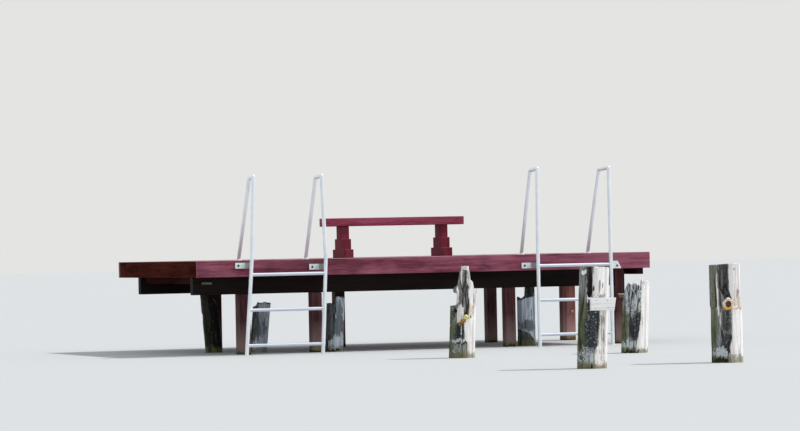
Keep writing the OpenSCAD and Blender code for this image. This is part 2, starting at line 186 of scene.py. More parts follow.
def stained_timber(name, along, colours, fade=0.5, patch=0.5, top_wear_and_highlight=0.0, roughness=0.62,
                   specular=0.3, water=None):
    """Stained timber. along is the grain's axis, colours are dark, body, faded and worn.

    water is the colour of the bleached wood above the waterline, for timber that stands in it.
    """
    dark, body, faded, worn = colours
    material, tree, shader, place = new_finish(name)
    tone = add(tree, "ShaderNodeAttribute", {}, attribute_name="tone").outputs["Fac"]
    shift = add(tree, "ShaderNodeCombineXYZ", {axis: tone for axis in "XYZ"}).outputs[0]
    moved = add(tree, "ShaderNodeVectorMath", {0: shift, 1: TONE_SHIFT, 2: place},
                operation="MULTIPLY_ADD").outputs[0]
    stretch = [1.0 / GRAIN_RATIO if axis == along else 1.0 for axis in "XYZ"]
    fibres = add(tree, "ShaderNodeMapping", {"Vector": moved, "Scale": stretch}).outputs[0]
    long_patch = [1.0 / PATCH_RATIO if axis == along else 1.0 for axis in "XYZ"]
    drawn = add(tree, "ShaderNodeMapping", {"Vector": moved, "Scale": long_patch}).outputs[0]
    bend = add(tree, "ShaderNodeTexNoise", {
        "Vector": moved, "Scale": 1000 / BEND_MM, "Detail": 2}).outputs["Color"]
    bent = add(tree, "ShaderNodeVectorMath", {0: bend, 1: BEND_SHARE, 2: fibres},
               operation="MULTIPLY_ADD").outputs[0]
    grain = add(tree, "ShaderNodeTexNoise", {
        "Vector": bent, "Scale": 1000 / GRAIN_MM, "Detail": 5, "Roughness": 0.65}).outputs["Fac"]
    streak = add(tree, "ShaderNodeTexNoise", {
        "Vector": bent, "Scale": 1000 / STREAK_MM, "Detail": 4, "Roughness": 0.6}).outputs["Fac"]
    blotch = add(tree, "ShaderNodeTexNoise", {
        "Vector": drawn, "Scale": 1000 / PATCH_MM, "Detail": 5, "Roughness": 0.6}).outputs["Fac"]
    knot = add(tree, "ShaderNodeTexVoronoi", {
        "Vector": drawn, "Scale": 1000 / KNOT_SPACING_MM}).outputs["Distance"]
    layers = [
        (grain, 0.36, 0.6, 0.0, 1.0, body),
        (streak, 0.42, 0.68, 0.0, fade, faded),
        (blotch, 0.5, 0.66, 0.0, patch, worn),
        (blotch, 0.34, 0.46, 0.7, 0.0, dark),
        (knot, 0.03, 0.09, 0.9, 0.0, dark),
    ]
    # Upward faces pale: partly wear by rain and feet, partly a painted highlight.
    if top_wear_and_highlight:
        normal = add(tree, "ShaderNodeNewGeometry", {}).outputs["Normal"]
        upward = add(tree, "ShaderNodeSeparateXYZ", {0: normal}).outputs["Z"]
        layers.append((upward, 0.3, 0.9, 0.0, top_wear_and_highlight, "#c2a3a2"))
    if water:
        layers += water_marks(tree, place, water)
    tree.links.new(layered(tree, dark, layers), shader.inputs["Base Color"])
    rough = add(tree, "ShaderNodeMapRange", {
        "Value": grain, "To Min": roughness - 0.08, "To Max": roughness + 0.12}).outputs[0]
    tree.links.new(rough, shader.inputs["Roughness"])
    shader.inputs["Specular IOR Level"].default_value = specular
    relief = add(tree, "ShaderNodeBump", {
        "Height": grain, "Strength": 0.3, "Distance": RELIEF_MM * MM}).outputs[0]
    tree.links.new(relief, shader.inputs["Normal"])
    return material


def water_marks(tree, place, bleached):
    """The layers of bleaching above the water, of an olive line and of dark wet algae at it."""
    level, _ = ragged_height(tree, place, WATERLINE_MM, WATERLINE_RISE)
    return [
        (level, 0.12, 0.36, 0.7, 0.0, bleached),
        (level, 0.075, 0.115, 0.8, 0.0, "#6b6238"),
        (level, 0.055, 0.075, 0.9, 0.0, "#24261a"),
    ]


print("grain:", GRAIN_MM, "mm wide and", GRAIN_MM * GRAIN_RATIO, "mm long")

# %% Stained finishes
edge_board_stain = stained_timber(
    "faded wine stain on front board", "X", ("#451625", "#7f3045", "#a45a70", "#ae677b"),
    fade=0.75, patch=0.6, top_wear_and_highlight=0.8)
# The side board takes a darker copy of the front board's stain: painted shade.
side_board_stain_and_painted_shade = stained_timber(
    "wine stain with painted shade on side board", "Y", ("#2b110c", "#4a211a", "#5c2e26", "#542b24"),
    fade=0.6, top_wear_and_highlight=0.6, specular=0.0)
deck_stain = stained_timber(
    "worn wine stain on deck boards", "X", ("#562930", "#7e4349", "#9c7173", "#a6918d"),
    fade=0.8, patch=0.8, roughness=0.5)
frame_stain = stained_timber(
    "dark stain on frame along the front", "X", ("#0a0707", "#190f0f", "#271816", "#201d17"),
    fade=0.6, patch=0.6, specular=0.08)
joist_stain = stained_timber(
    "dark stain on joists", "Y", ("#170c0b", "#361a1b", "#432425", "#39291f"),
    fade=0.6, specular=0.0)
post_stain = stained_timber(
    "wine stain on posts, bleached at the water", "Z", ("#2a1215", "#50282a", "#683f41", "#6d5553"),
    fade=0.7, specular=0.12, water="#8d756f")
# A paler copy of the post stain for the rear right post: painted sunlight.
post_stain_with_painted_sunlight = stained_timber(
    "wine stain with painted sunlight on the rear post", "Z", ("#562424", "#823f39", "#965b55", "#8a7568"),
    fade=0.7, specular=0.2, water="#c7a39b")
# The seat beam and the legs share one paint: the seat's copy is paler with painted sunlight, the legs'
# copy darker with painted shade.
seat_stain_with_painted_light = stained_timber(
    "wine stain with painted sunlight on the seat beam", "X", ("#6a2035", "#a33a54", "#b35d76", "#a75970"),
    fade=0.6, patch=0.4, top_wear_and_highlight=0.5)
# The legs' darker copy is painted shade.
leg_stain_with_painted_shade = stained_timber(
    "wine stain with painted shade on the bench legs", "Z", ("#581a26", "#85293b", "#944150", "#87404c"),
    fade=0.6, patch=0.4, specular=0.15)
print("stained finishes:", len(bpy.data.materials))

# %% [markdown]
# ## Squared timber with rounded arrises
# A sawn board never has a knife-sharp edge: the saw, the plane and years of feet
# round it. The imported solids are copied, their triangles joined back into flat faces,
# and every sharp edge is bevelled. That keeps each timber exactly in its place.
# Each board also gets a tone of its own, so that the grain doesn't run across a joint.

# %% Solids, copies and pieces
dice = random.Random(11)
FLAT = math.radians(1)
SHARP = math.radians(20)


def islands(bm):
    """The separate solids of a mesh, each as a list of its vertices."""
    left_over = set(bm.verts)
    found = []
    while left_over:
        group = [left_over.pop()]
        for vert in group:
            for edge in vert.link_edges:
                other = edge.other_vert(vert)
                if other in left_over:
                    left_over.remove(other)
                    group.append(other)
        found.append(group)
    return sorted(found, key=lambda g: tuple(round(min(v.co[i] for v in g), 4) for i in (1, 0, 2)))


def merged_copy(node):
    """The node's mesh with its doubled vertices merged, as a new bmesh."""
    bm = bmesh.new()
    bm.from_mesh(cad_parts[node].data)
    bmesh.ops.remove_doubles(bm, verts=bm.verts, dist=0.01 * MM)
    return bm


def as_piece(bm, name, material, smooth=False):
    """Turns a bmesh into a piece that rides on the jetty."""
    mesh = bpy.data.meshes.new(name)
    for face in bm.faces:
        face.smooth = smooth
    bm.to_mesh(mesh)
    bm.free()
    mesh.materials.append(material)
    piece = bpy.data.objects.new(name, mesh)
    scene.collection.objects.link(piece)
    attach(piece, "root")
    return piece


def set_tones(bm):
    """One random tone for each separate solid."""
    layer = bm.verts.layers.float.new("tone")
    for group in islands(bm):
        tone = dice.random()
        for vert in group:
            vert[layer] = tone


def rounded(node, radius_mm, material, uneven_mm=0.0):
    """A copy of squared timber with rounded arrises, which stands for the node."""
    bm = merged_copy(node)
    bmesh.ops.dissolve_limit(bm, angle_limit=FLAT, verts=bm.verts, edges=bm.edges)
    for group in islands(bm):
        drop = dice.uniform(0.0, uneven_mm) * MM
        bmesh.ops.translate(bm, verts=group, vec=(0.0, 0.0, -drop))
    sharp = [edge for edge in bm.edges if edge.is_manifold and edge.calc_face_angle() > SHARP]
    bmesh.ops.bevel(bm, geom=sharp, offset=radius_mm * MM, offset_type="OFFSET", affect="EDGES",
                    segments=3, profile=0.5, material=-1)
    set_tones(bm)
    piece = as_piece(bm, node + "_timber", material)
    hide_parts(node)
    return piece


print("rounded edges turn by more than", round(math.degrees(SHARP)), "degrees")

# %% Rounded copies of the squared nodes
# Each row has the arris radius in millimetres, the stain, the slot and the nodes.
squared = (
    (5, edge_board_stain, "painted_edge_board", ("front_fascia",)),
    (4, edge_board_stain, "painted_edge_board", ("rear_board",)),
    (4, side_board_stain_and_painted_shade, "painted_edge_board", ("left_side_board", "right_side_board")),
    (3, joist_stain, "dark_frame_timber", ("edge_joist_left", "edge_joist_right")),
    (3, joist_stain, "dark_frame_timber", ("inner_joists_left", "inner_joists_right")),
    (4, frame_stain, "dark_frame_timber", ("front_beam", "rear_beam")),
    (6, seat_stain_with_painted_light, "painted_bench", ("bench_seat",)),
    (4, leg_stain_with_painted_shade, "painted_bench", ("bench_support_left", "bench_support_right")),
)
for radius_mm, stain, slot, nodes in squared:
    for node in nodes:
        rounded(node, radius_mm, stain)
for node in ("deck_boards_front", "deck_boards_middle", "deck_boards_rear"):
    rounded(node, 3, deck_stain, uneven_mm=1.5)
for node in sorted(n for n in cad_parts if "_post_" in n):
    rounded(node, 5, post_stain_with_painted_sunlight if node == "rear_post_right" else post_stain)

# %% [markdown]
# ## The old piles
# The round piles are all that is left of an older jetty. Rot has hollowed their heart,
# frost has opened long cracks, and the sun has bleached the side that it reaches.
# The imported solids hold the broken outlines. Each is remeshed into small, even faces.
# Every vertex is then moved inwards by noise that is drawn out along the trunk, which
# carves cracks and fibres as weather does, and leaves the size alone. The broken tops
# are made ragged column by column, as wood splits along its fibres.

# %% Noise and soft steps on many points
RIGHT = np.array(level_right)[:2]
NEAR = np.array((-math.sin(TURN_RIGHT), -math.cos(TURN_RIGHT)))


def soft(values, low, high):
    """0 below low, 1 above high, and a smooth rise between them."""
    share = np.clip((values - low) / (high - low), 0.0, 1.0)
    return share * share * (3 - 2 * share)


def noise_at(points, scale, seed):
    """Noise from -1 to 1 at many points, with a scale for each axis."""
    return np.array([noise.noise(Vector(point)) for point in (points * scale + seed).tolist()])


def even_faces(node, voxel_mm):
    """The node's solid as a mesh of small, even faces."""
    bm = merged_copy(node)
    bmesh.ops.recalc_face_normals(bm, faces=bm.faces)
    solid = bpy.data.meshes.new(node + "_solid")
    bm.to_mesh(solid)
    bm.free()
    helper = bpy.data.objects.new(node + "_helper", solid)
    scene.collection.objects.link(helper)
    remesh = helper.modifiers.new("even faces", "REMESH")
    remesh.mode = "VOXEL"
    remesh.voxel_size = voxel_mm * MM
    mesh = bpy.data.meshes.new_from_object(helper.evaluated_get(bpy.context.evaluated_depsgraph_get()))
    bpy.data.objects.remove(helper)
    return mesh


def vectors(data, name):
    """A vector of every item of a mesh's list, as rows."""
    flat = np.empty(len(data) * 3)
    data.foreach_get(name, flat)
    return flat.reshape(-1, 3)


RING_SHARES = (0.06, 0.3, 0.5)
RING_HALF = 0.02


def trunk_axis(co, height):
    """The middle of the trunk at the foot, its slant for each metre of height, and its radius."""
    rings = [co[np.abs(co[:, 2] - share * height) < RING_HALF] for share in RING_SHARES]
    middles = [(ring[:, :2].max(0) + ring[:, :2].min(0)) / 2 for ring in rings]
    slant = (middles[2] - middles[0]) / ((RING_SHARES[2] - RING_SHARES[0]) * height)
    radius = np.ptp(rings[1][:, :2], axis=0).mean() / 2
    return middles[0] - slant * RING_SHARES[0] * height, slant, radius


print("right and near on the water:", RIGHT.round(3), NEAR.round(3))

# %% [markdown]
# ## Weather and painted sunlight on each pile
# Seen from the lake, each pile is pale to the right of an edge that wanders with the
# height: partly wood bleached by the sun, partly painted sunlight on the side that the
# sun lights. It is mossy on its left flank, and speckled by black fungus between them.
# Moss has the place where it starts and the height that it reaches, and the dark specks
# their left end and two heights. A row of marks adds the places that are a pile's own,
# such as a knot hole or a white salt line. Each mark is a soft ellipse: what it does,
# how far across, its height, its half sizes, and its strength, for a dent its depth.
# Places across a trunk are in radii from its middle, and heights in millimetres.

# %% The piles' own marks
PILES = {
    "outer_pile_stump": {
        "ragged_mm": 26, "moss": (0.75, 380), "dark": (-0.7, 150, 290), "heart": 0.1,
        "edge": [(0, 0.4), (125, 0.3), (160, 0.1), (300, 0.1), (345, 0.42), (480, 0.42), (560, 0.3),
                 (782, 0.2)],
        "marks": [
            ("bleach_and_sunlight", -0.25, 400, 0.27, 62, 1.3), ("bleach_and_sunlight", -0.33, 335, 0.16, 42, 1.1),
            # A dark mark on the same place as a dent is painted shade in its hole.
            ("dark", -0.78, 380, 0.2, 50, 0.9), ("dent", -0.66, 410, 0.16, 22, 24),
            ("dark", -0.66, 410, 0.16, 24, 1.3), ("bleach_and_sunlight", -0.45, 520, 0.12, 100, 0.9),
            ("bleach_and_sunlight", -0.2, 700, 0.06, 70, 0.7), ("bleach_and_sunlight", 0.25, 775, 0.6, 20, 1.0),
            ("chalk", -0.2, 152, 0.75, 13, 1.4), ("wet", -0.1, 130, 0.6, 8, 1.2),
            ("chalk", -0.3, 70, 0.7, 50, 0.35), ("chalk", -0.15, 230, 0.06, 60, 0.9),
            ("dent", 0.28, 604, 0.13, 14, 16), ("dent", 0.33, 550, 0.045, 60, 13),
            # The dark mark beside the dent below is painted shade in its hole.
            ("dent", 0.4, 440, 0.05, 60, 14), ("dark", 0.15, 374, 0.17, 15, 1.2),
            ("dent", 0.13, 366, 0.13, 12, 14), ("dark", 0.05, 640, 0.2, 110, 0.25),
            ("dent", 0.57, 346, 0.06, 12, 14), ("ochre", 0.6, 412, 0.28, 50, 0.6),
            ("ochre", 0.1, 45, 0.4, 40, 0.45), ("streak", 0.85, 520, 0.25, 90, 0.5)]},
    "outer_pile_right": {
        "ragged_mm": 60, "moss": (0.6, 400), "dark": (-0.35, 110, 360), "heart": 0.0,
        "edge": [(0, 0.0), (90, 0.12), (200, 0.32), (330, 0.38), (450, 0.35), (634, 0.3)],
        "marks": [
            ("chalk", -0.4, 540, 0.55, 70, 1.0), ("chalk", 0.05, 470, 0.35, 110, 0.95),
            ("dent", -0.02, 535, 0.05, 40, 14), ("dent", -0.3, 505, 0.04, 30, 10),
            ("chalk", -0.5, 78, 0.7, 40, 0.75), ("chalk", -0.3, 400, 0.5, 80, 0.6),
            ("wet", -0.4, 12, 0.7, 14, 1.0), ("dark", 0.0, 230, 0.25, 120, 0.8)]},
    "outer_pile_tagged": {
        "ragged_mm": 12, "moss": (0.55, 560), "dark": (-0.62, 150, 500), "heart": 0.75,
        "edge": [(0, 0.2), (120, 0.2), (180, 0.4), (440, 0.42), (520, 0.3), (545, 0.0), (776, -0.1)],
        "marks": [
            ("bleach_and_sunlight", -0.57, 740, 0.26, 22, 1.4), ("bleach_and_sunlight", -0.4, 620, 0.07, 110, 0.75),
            # The dark mark on the dent is painted shade in the knot hole.
            ("dark", -0.02, 608, 0.12, 22, 1.2), ("dent", -0.02, 608, 0.08, 20, 14),
            ("streak", 0.4, 620, 0.06, 60, 0.8), ("streak", 0.62, 640, 0.05, 20, 0.9),
            ("streak", 0.55, 555, 0.4, 18, 0.8), ("streak", 0.62, 250, 0.3, 200, 0.5),
            ("chalk", -0.02, 65, 0.15, 70, 1.2), ("chalk", -0.5, 95, 0.6, 90, 0.5),
            ("chalk", -0.1, 330, 0.45, 150, 0.2), ("ochre", 0.2, 6, 0.8, 22, 0.8)]},
    "outer_pile_far_right": {
        "ragged_mm": 12, "moss": (0.75, 360), "dark": (-0.35, 80, 230), "heart": 0.55,
        "ledge": (437, 119),
        "edge": [(0, 0.2), (120, 0.1), (200, 0.3), (430, 0.3), (440, 0.2), (774, 0.12)],
        "marks": [
            ("bleach_and_sunlight", -0.53, 560, 0.06, 230, 1.0), ("dark", 0.1, 140, 0.35, 80, 1.0),
            ("dark", -0.05, 330, 0.35, 130, 0.72), ("moss", -0.85, 560, 0.4, 260, 0.45),
            ("bleach_and_sunlight", -0.4, 350, 0.06, 80, 0.7), ("chalk", -0.2, 650, 0.07, 90, 0.8),
            ("chalk", 0.1, 560, 0.12, 30, 0.7), ("dent", 0.5, 735, 0.06, 10, 10),
            ("ochre", 0.75, 470, 0.35, 45, 0.6), ("ochre", 0.8, 434, 0.5, 9, 0.8),
            ("dent", 0.09, 457, 0.16, 22, 26), ("streak", 0.7, 540, 0.12, 40, 0.8),
            ("chalk", -0.4, 82, 0.7, 40, 0.66), ("wet", -0.4, 22, 0.6, 22, 1.1)]},
    "under_pile_leaning": {
        "ragged_mm": 0, "moss": (0.2, 700), "dark": (-0.2, 0, 600), "heart": 0.0,
        "edge": [(0, 1.3), (700, 1.3)],
        "marks": [
            ("bleach_and_sunlight", -0.92, 350, 0.12, 300, 0.8)]},
    "under_pile_broken": {
        "ragged_mm": 20, "moss": (0.75, 330), "dark": (-0.1, 150, 230), "heart": 0.3,
        "edge": [(0, -0.3), (60, -0.3), (100, 0.0), (300, -0.1), (470, -0.2)],
        "marks": [
            ("bleach_and_sunlight", 0.3, 420, 0.8, 80, 1.5), ("streak", 0.25, 230, 0.6, 100, 0.65),
            ("chalk", 0.2, 95, 0.6, 30, 0.9), ("bleach_and_sunlight", 0.3, 70, 0.9, 70, 1.5)]},
    "under_pile_left": {
        "ragged_mm": 22, "moss": (0.85, 260), "dark": (-0.8, 20, 110), "heart": 0.3,
        "edge": [(0, 0.4), (90, 0.2), (512, 0.05)],
        "marks": [
            ("streak", 0.45, 370, 0.45, 110, 0.75), ("streak", 0.5, 235, 0.6, 95, 1.4),
            ("bleach_and_sunlight", 0.2, 75, 0.8, 70, 1.2), ("wet", 0.0, 8, 0.9, 14, 0.8)]},
    "under_pile_right": {
        "ragged_mm": 18, "moss": (0.85, 300), "dark": (0.3, 40, 180), "heart": 0.3,
        "edge": [(0, 0.8), (70, 0.7), (120, 0.3), (165, -1.2), (430, -1.2), (470, 1.3), (712, 1.3)],
        "marks": [
            ("dark", 0.0, 590, 1.4, 130, 1.3), ("streak", -0.1, 300, 1.1, 70, 0.3),
            ("streak", 0.1, 190, 1.1, 60, 1.0), ("moss", 0.0, 70, 0.9, 60, 0.7),
            ("chalk", 0.1, 90, 0.6, 60, 0.15)]},
}
EFFECTS = ("bleach_and_sunlight", "moss", "dark", "ochre", "chalk", "wet", "streak", "deep")
print("marks:", sum(len(pile["marks"]) for pile in PILES.values()))

# %% [markdown]
# ## Carving
# Each noise has a scale for every axis, as waves in a metre: few along the trunk and
# many across it give long cracks and fibres. The marks are measured first, because a
# bleached side has shallower cracks, and they are kept on the mesh for the finish.

# %% What each vertex gets from the weather
CLOUD = (9.0, 9.0, 4.0)
FIBRES = (110.0, 110.0, 8.0)
WANDER_SHORT = (45.0, 45.0, 28.0)
WANDER_LONG = (60.0, 60.0, 6.0)
JAGS = (60.0, 60.0, 2.0)
BROAD_CRACKS = (22.0, 22.0, 1.7)
BROAD_WIDTH = 0.09
NARROW_CRACKS = (48.0, 48.0, 3.2)
NARROW_WIDTH = 0.07
VALLEYS = 45.0
SPLINTERS = 120.0
COLUMN_MM = 5
CRACK_MM = 12
NARROW_MM = 4
FIBRE_MM = 2.5
HOLLOW_MM = 5
SPLIT_MM = 90
JAG_MM = 26
DEEP_MM = 16


def ragged_drop(co, amount_mm, seed):
    """How far each vertex comes down, so that the broken top is ragged column by column."""
    cells = np.floor(co[:, :2] / (COLUMN_MM * MM)).astype(int)
    cells -= cells.min(0)
    keys = cells[:, 0] * (cells[:, 1].max() + 1) + cells[:, 1]
    tops = np.full(keys.max() + 1, -1.0)
    np.maximum.at(tops, keys, co[:, 2])
    flat = co * (1.0, 1.0, 0.0)
    depth = 0.65 * np.abs(noise_at(flat, VALLEYS, seed))
    depth += 0.35 * np.abs(noise_at(flat, SPLINTERS, seed))
    # The noise seldom passes 0.4, so it is stretched to fill the range from 0 to 1.
    drop = amount_mm * MM * np.clip(2.4 * depth, 0.0, 1.0)
    return drop * soft(co[:, 2], tops[keys] - SPLIT_MM * MM, tops[keys])


def weathering_and_painted_light(pile, across, near, high, cloud, wander, jag):
    """How strong each effect of the weather, and of the painted light, is at every vertex."""
    effects = {name: np.zeros(len(high)) for name in EFFECTS + ("dent",)}
    edge = np.interp(high, *zip(*pile["edge"]))
    effects["bleach_and_sunlight"] = soft(across - edge + 0.1 * cloud, -0.16, 0.16)
    moss_edge, moss_top = pile["moss"]
    mossy = soft(-across + 0.15 * cloud, moss_edge - 0.35, moss_edge + 0.3)
    effects["moss"] = mossy * soft(moss_top - high, -150, 110)
    dark_left, dark_low, dark_high = pile["dark"]
    window = soft(high, dark_low - 30, dark_low + 30) * soft(dark_high - high, -110, 90)
    front = soft(near, -0.15, 0.15)
    effects["dark"] = soft(across - dark_left + 0.1 * cloud, -0.22, 0.22) * window * (0.4 + 0.6 * front)
    for name, u, z, half_u, half_z, strength in pile["marks"]:
        far = np.hypot((across - u) / half_u, (high + jag - z) / half_z) + wander
        mark = strength * soft(-far, -1.4, -0.5) * front
        effects[name] = np.maximum(effects[name], mark)
    effects["dark"] *= 1 - effects["bleach_and_sunlight"]
    return effects


print("a soft step at its quarters:", soft(np.linspace(0, 1, 5), 0, 1))


# %% Carve the piles
def carved_pile(node, voxel_mm, seed):
    """A pile with cracks, fibres, splinters and marks, which stands for the node, and its axis."""
    pile = PILES[node]
    mesh = even_faces(node, voxel_mm)
    co, normals = vectors(mesh.vertices, "co"), vectors(mesh.vertex_normals, "vector")
    height = co[:, 2].max()
    foot, slant, radius = trunk_axis(co, height)
    away = co[:, :2] - foot - np.outer(co[:, 2], slant)
    spread = np.hypot(*away.T)
    outward = away / np.maximum(spread, 1 * MM)[:, None]
    across, near = away @ RIGHT / radius, away @ NEAR / radius
    high = co[:, 2] / MM
    local = np.column_stack((away, co[:, 2]))
    cloud = noise_at(local, CLOUD, seed)
    fibre = noise_at(local, FIBRES, seed)
    wander = 0.35 * noise_at(local, WANDER_SHORT, seed) + 0.35 * noise_at(local, WANDER_LONG, seed + 3)
    jag = JAG_MM * noise_at(local, JAGS, seed + 5)
    broad = np.clip(1 - np.abs(noise_at(local, BROAD_CRACKS, seed)) / BROAD_WIDTH, 0.0, 1.0) ** 0.7
    narrow = np.clip(1 - np.abs(noise_at(local, NARROW_CRACKS, seed + 7)) / NARROW_WIDTH, 0.0, 1.0)

    effects = weathering_and_painted_light(pile, across, near, high, cloud, wander, jag)
    dent = effects.pop("dent")
    broad *= 1 - 0.75 * effects["bleach_and_sunlight"]
    narrow *= 1 - 0.5 * effects["bleach_and_sunlight"]
    heart = pile["heart"] * soft(-spread / radius, -0.8, -0.55)
    flank = np.sqrt(np.clip(1 - normals[:, 2] ** 2, 0.0, 1.0))
    deepest = np.maximum.reduce([broad * flank, 0.6 * narrow * flank, heart, dent / DEEP_MM])
    effects["deep"] = np.clip(deepest, 0.0, 1.0)

    hollow = HOLLOW_MM * (0.5 - 0.3 * cloud) + FIBRE_MM * (0.5 + 0.5 * fibre)
    inward = (hollow + CRACK_MM * broad + NARROW_MM * narrow) * MM
    moved = co.copy()
    moved[:, :2] -= normals[:, :2] * (inward * flank)[:, None]
    moved[:, :2] -= outward * (dent * MM)[:, None]
    if "ledge" in pile:
        ledge_high, upper_radius = pile["ledge"]
        kept = upper_radius * MM + (radius - upper_radius * MM) * soft(across, -0.45, 0.35)
        excess = np.where(high < ledge_high, np.maximum(spread - kept, 0.0), 0.0)
        moved[:, :2] -= outward * excess[:, None]
    moved[:, 2] -= ragged_drop(co, pile["ragged_mm"], seed)
    moved = np.clip(moved, co.min(0), co.max(0))
    mesh.vertices.foreach_set("co", moved.reshape(-1))
    for name, values in effects.items():
        mesh.attributes.new(name, "FLOAT", "POINT").data.foreach_set("value", values)
    mesh.polygons.foreach_set("use_smooth", [True] * len(mesh.polygons))
    mesh.update()
    piece = bpy.data.objects.new(node + "_carved", mesh)
    scene.collection.objects.link(piece)
    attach(piece, "root")
    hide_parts(node)
    print(node, "vertices", len(co), "height", round(height, 3), "radius", round(radius, 3))
    return piece, foot, slant, radius


OUTER_VOXEL_MM = 3.4
UNDER_VOXEL_MM = 5.0
SEED_STEP = 3.1
trunks = {}
for i, node in enumerate(PILES):
    voxel_mm = OUTER_VOXEL_MM if node.startswith("outer") else UNDER_VOXEL_MM
    trunks[node] = carved_pile(node, voxel_mm, SEED_STEP * i)

# %% [markdown]
# ## Weathered pile wood
# Raw oak or larch goes silver grey, and nearly white where the sun reaches it; the
# nearly white coat here also paints the sunlight on that side. The turned-away side keeps
# a film of green algae. Between them black fungus speckles the wood. The finish reads
# the marks that were kept while carving. Noise breaks their edges up, drawn out along the
# trunk like the fibres, so that no edge looks painted.

# %% Pile wood
FINE_MM = 6
COARSE_MM = 20
SPOT_MM = 15
CLOUD_MM = 90
DRAWN_OUT = (1.0, 1.0, 0.07)
PILE_RELIEF_MM = 2


def broken_up(tree, mark, breakers):
    """A mark with noises added to it, so that a mark of a half shows on half of the wood."""
    for weight, pattern in breakers:
        centred = add(tree, "ShaderNodeMath", {0: pattern, 1: weight, 2: -0.5 * weight},
                      operation="MULTIPLY_ADD").outputs[0]
        mark = add(tree, "ShaderNodeMath", {0: mark, 1: centred}).outputs[0]
    return mark


def pile_wood(name, pale, blush, silver, moss, speck, stain, ochre):
    """Pile wood, pale where bleached and where sunlight is painted, speckled and mossy. silver, moss and
    speck are a dark and a light colour each.
    """
    material, tree, shader, place = new_finish(name)
    marks = {n: add(tree, "ShaderNodeAttribute", {}, attribute_name=n).outputs["Fac"] for n in EFFECTS}
    fibres = add(tree, "ShaderNodeMapping", {"Vector": place, "Scale": DRAWN_OUT}).outputs[0]
    fine = add(tree, "ShaderNodeTexNoise", {
        "Vector": fibres, "Scale": 1000 / FINE_MM, "Detail": 4, "Roughness": 0.65}).outputs["Fac"]
    coarse = add(tree, "ShaderNodeTexNoise", {
        "Vector": fibres, "Scale": 1000 / COARSE_MM, "Detail": 4}).outputs["Fac"]
    cloud = add(tree, "ShaderNodeTexNoise", {
        "Vector": place, "Scale": 1000 / CLOUD_MM, "Detail": 4}).outputs["Fac"]
    spots = add(tree, "ShaderNodeTexNoise", {
        "Vector": place, "Scale": 1000 / SPOT_MM, "Detail": 4, "Roughness": 0.7}).outputs["Fac"]
    black = layered(tree, speck[0], [(spots, 0.52, 0.68, 0.0, 1.0, speck[1])])
    green = layered(tree, moss[0], [(cloud, 0.35, 0.65, 0.0, 1.0, moss[1])])
    # Dark colour for cracks, the hollow heart and dents: partly rot, partly painted shade.
    rot_and_crack_shade = layered(tree, "#1f1917", [(coarse, 0.4, 0.62, 0.0, 1.0, "#4b4343")])
    streaks = broken_up(tree, marks["streak"], [(2.2, coarse), (1.5, fine)])
    cream = layered(tree, blush, [(coarse, 0.34, 0.55, 0.0, 1.0, pale),
                                  (streaks, 0.38, 0.62, 0.0, 0.8, stain)])
    height = add(tree, "ShaderNodeSeparateXYZ", {0: place}).outputs["Z"]
    foot = add(tree, "ShaderNodeMapRange", {
        "Value": height, "From Min": 0.012, "From Max": 0.085, "To Min": 0.9, "To Max": 0.0}).outputs[0]

    # Each coat: its mark, the noises that break it up, how soft its edge is, its cover and colour.
    coats = [
        (marks["dark"], [(1.6, coarse), (1.4, spots)], 0.12, 0.9, black),
        (marks["moss"], [(1.2, cloud), (1.6, coarse)], 0.3, 0.95, green),
        (marks["chalk"], [(2.6, spots), (0.8, coarse)], 0.12, 0.9, "#cfd4d4"),
        # The pale coat is partly sun-bleached wood, partly painted sunlight.
        (marks["bleach_and_sunlight"], [(1.4, coarse), (0.9, spots)], 0.12, 1.0, cream),
        (marks["ochre"], [(2.0, spots), (1.2, coarse)], 0.3, 0.6, ochre),
        (foot, [(1.6, spots), (1.2, cloud)], 0.2, 0.75, "#77744a"),
        (marks["wet"], [(1.0, cloud), (1.2, spots)], 0.12, 0.95, "#1e2418"),
    ]
    layers = [(fine, 0.36, 0.64, 0.0, 1.0, silver[1])]
    for mark, breakers, blur, cover, colour in coats:
        layers.append((broken_up(tree, mark, breakers), 0.5 - blur, 0.5 + blur, 0.0, cover, colour))
    # The deep places get it: partly rot, partly painted shade in them.
    layers.append((marks["deep"], 0.2, 0.8, 0.0, 0.9, rot_and_crack_shade))
    tree.links.new(layered(tree, silver[0], layers), shader.inputs["Base Color"])
    shader.inputs["Roughness"].default_value = 0.85
    shader.inputs["Specular IOR Level"].default_value = 0.2
    relief = add(tree, "ShaderNodeBump", {
        "Height": fine, "Strength": 0.5, "Distance": PILE_RELIEF_MM * MM}).outputs[0]
    tree.links.new(relief, shader.inputs["Normal"])
    return material


print("fine fibres:", FINE_MM, "mm wide and", round(FINE_MM / DRAWN_OUT[2]), "mm long")

# %% Finish the piles
outer_wood = pile_wood(
    "sun-bleached pile wood with painted sunlight", "#faf7f3", "#e8dfd8", silver=("#4d4e4b", "#a9a9a2"),
    moss=("#3c4329", "#6e7550"), speck=("#22272d", "#7b858b"), stain="#8c7c73", ochre="#bb9350")
under_wood = pile_wood(
    "grey pile wood under the deck", "#d9e1e8", "#98a3ab", silver=("#3d4143", "#7c8387"),
    moss=("#3a3d2a", "#5f6145"), speck=("#24292d", "#6f7981"), stain="#454c54", ochre="#8d7f57")
# A darker copy of the pile wood for the leaning pile: painted shade.
painted_shade_wood = pile_wood(
    "dark pile wood behind the corner post", "#4e5148", "#34352c", silver=("#171713", "#2c2d25"),
    moss=("#23261a", "#3d4130"), speck=("#0f100d", "#25261f"), stain="#1c1c17", ochre="#423f24")
for node, (pile, *_) in trunks.items():
    wood = outer_wood if node.startswith("outer") else under_wood
    # The leaning pile gets the copy darkened with painted shade.
    pile.data.materials.append(painted_shade_wood if "leaning" in node else wood)
print("pile finishes:", outer_wood.name, "and", under_wood.name)

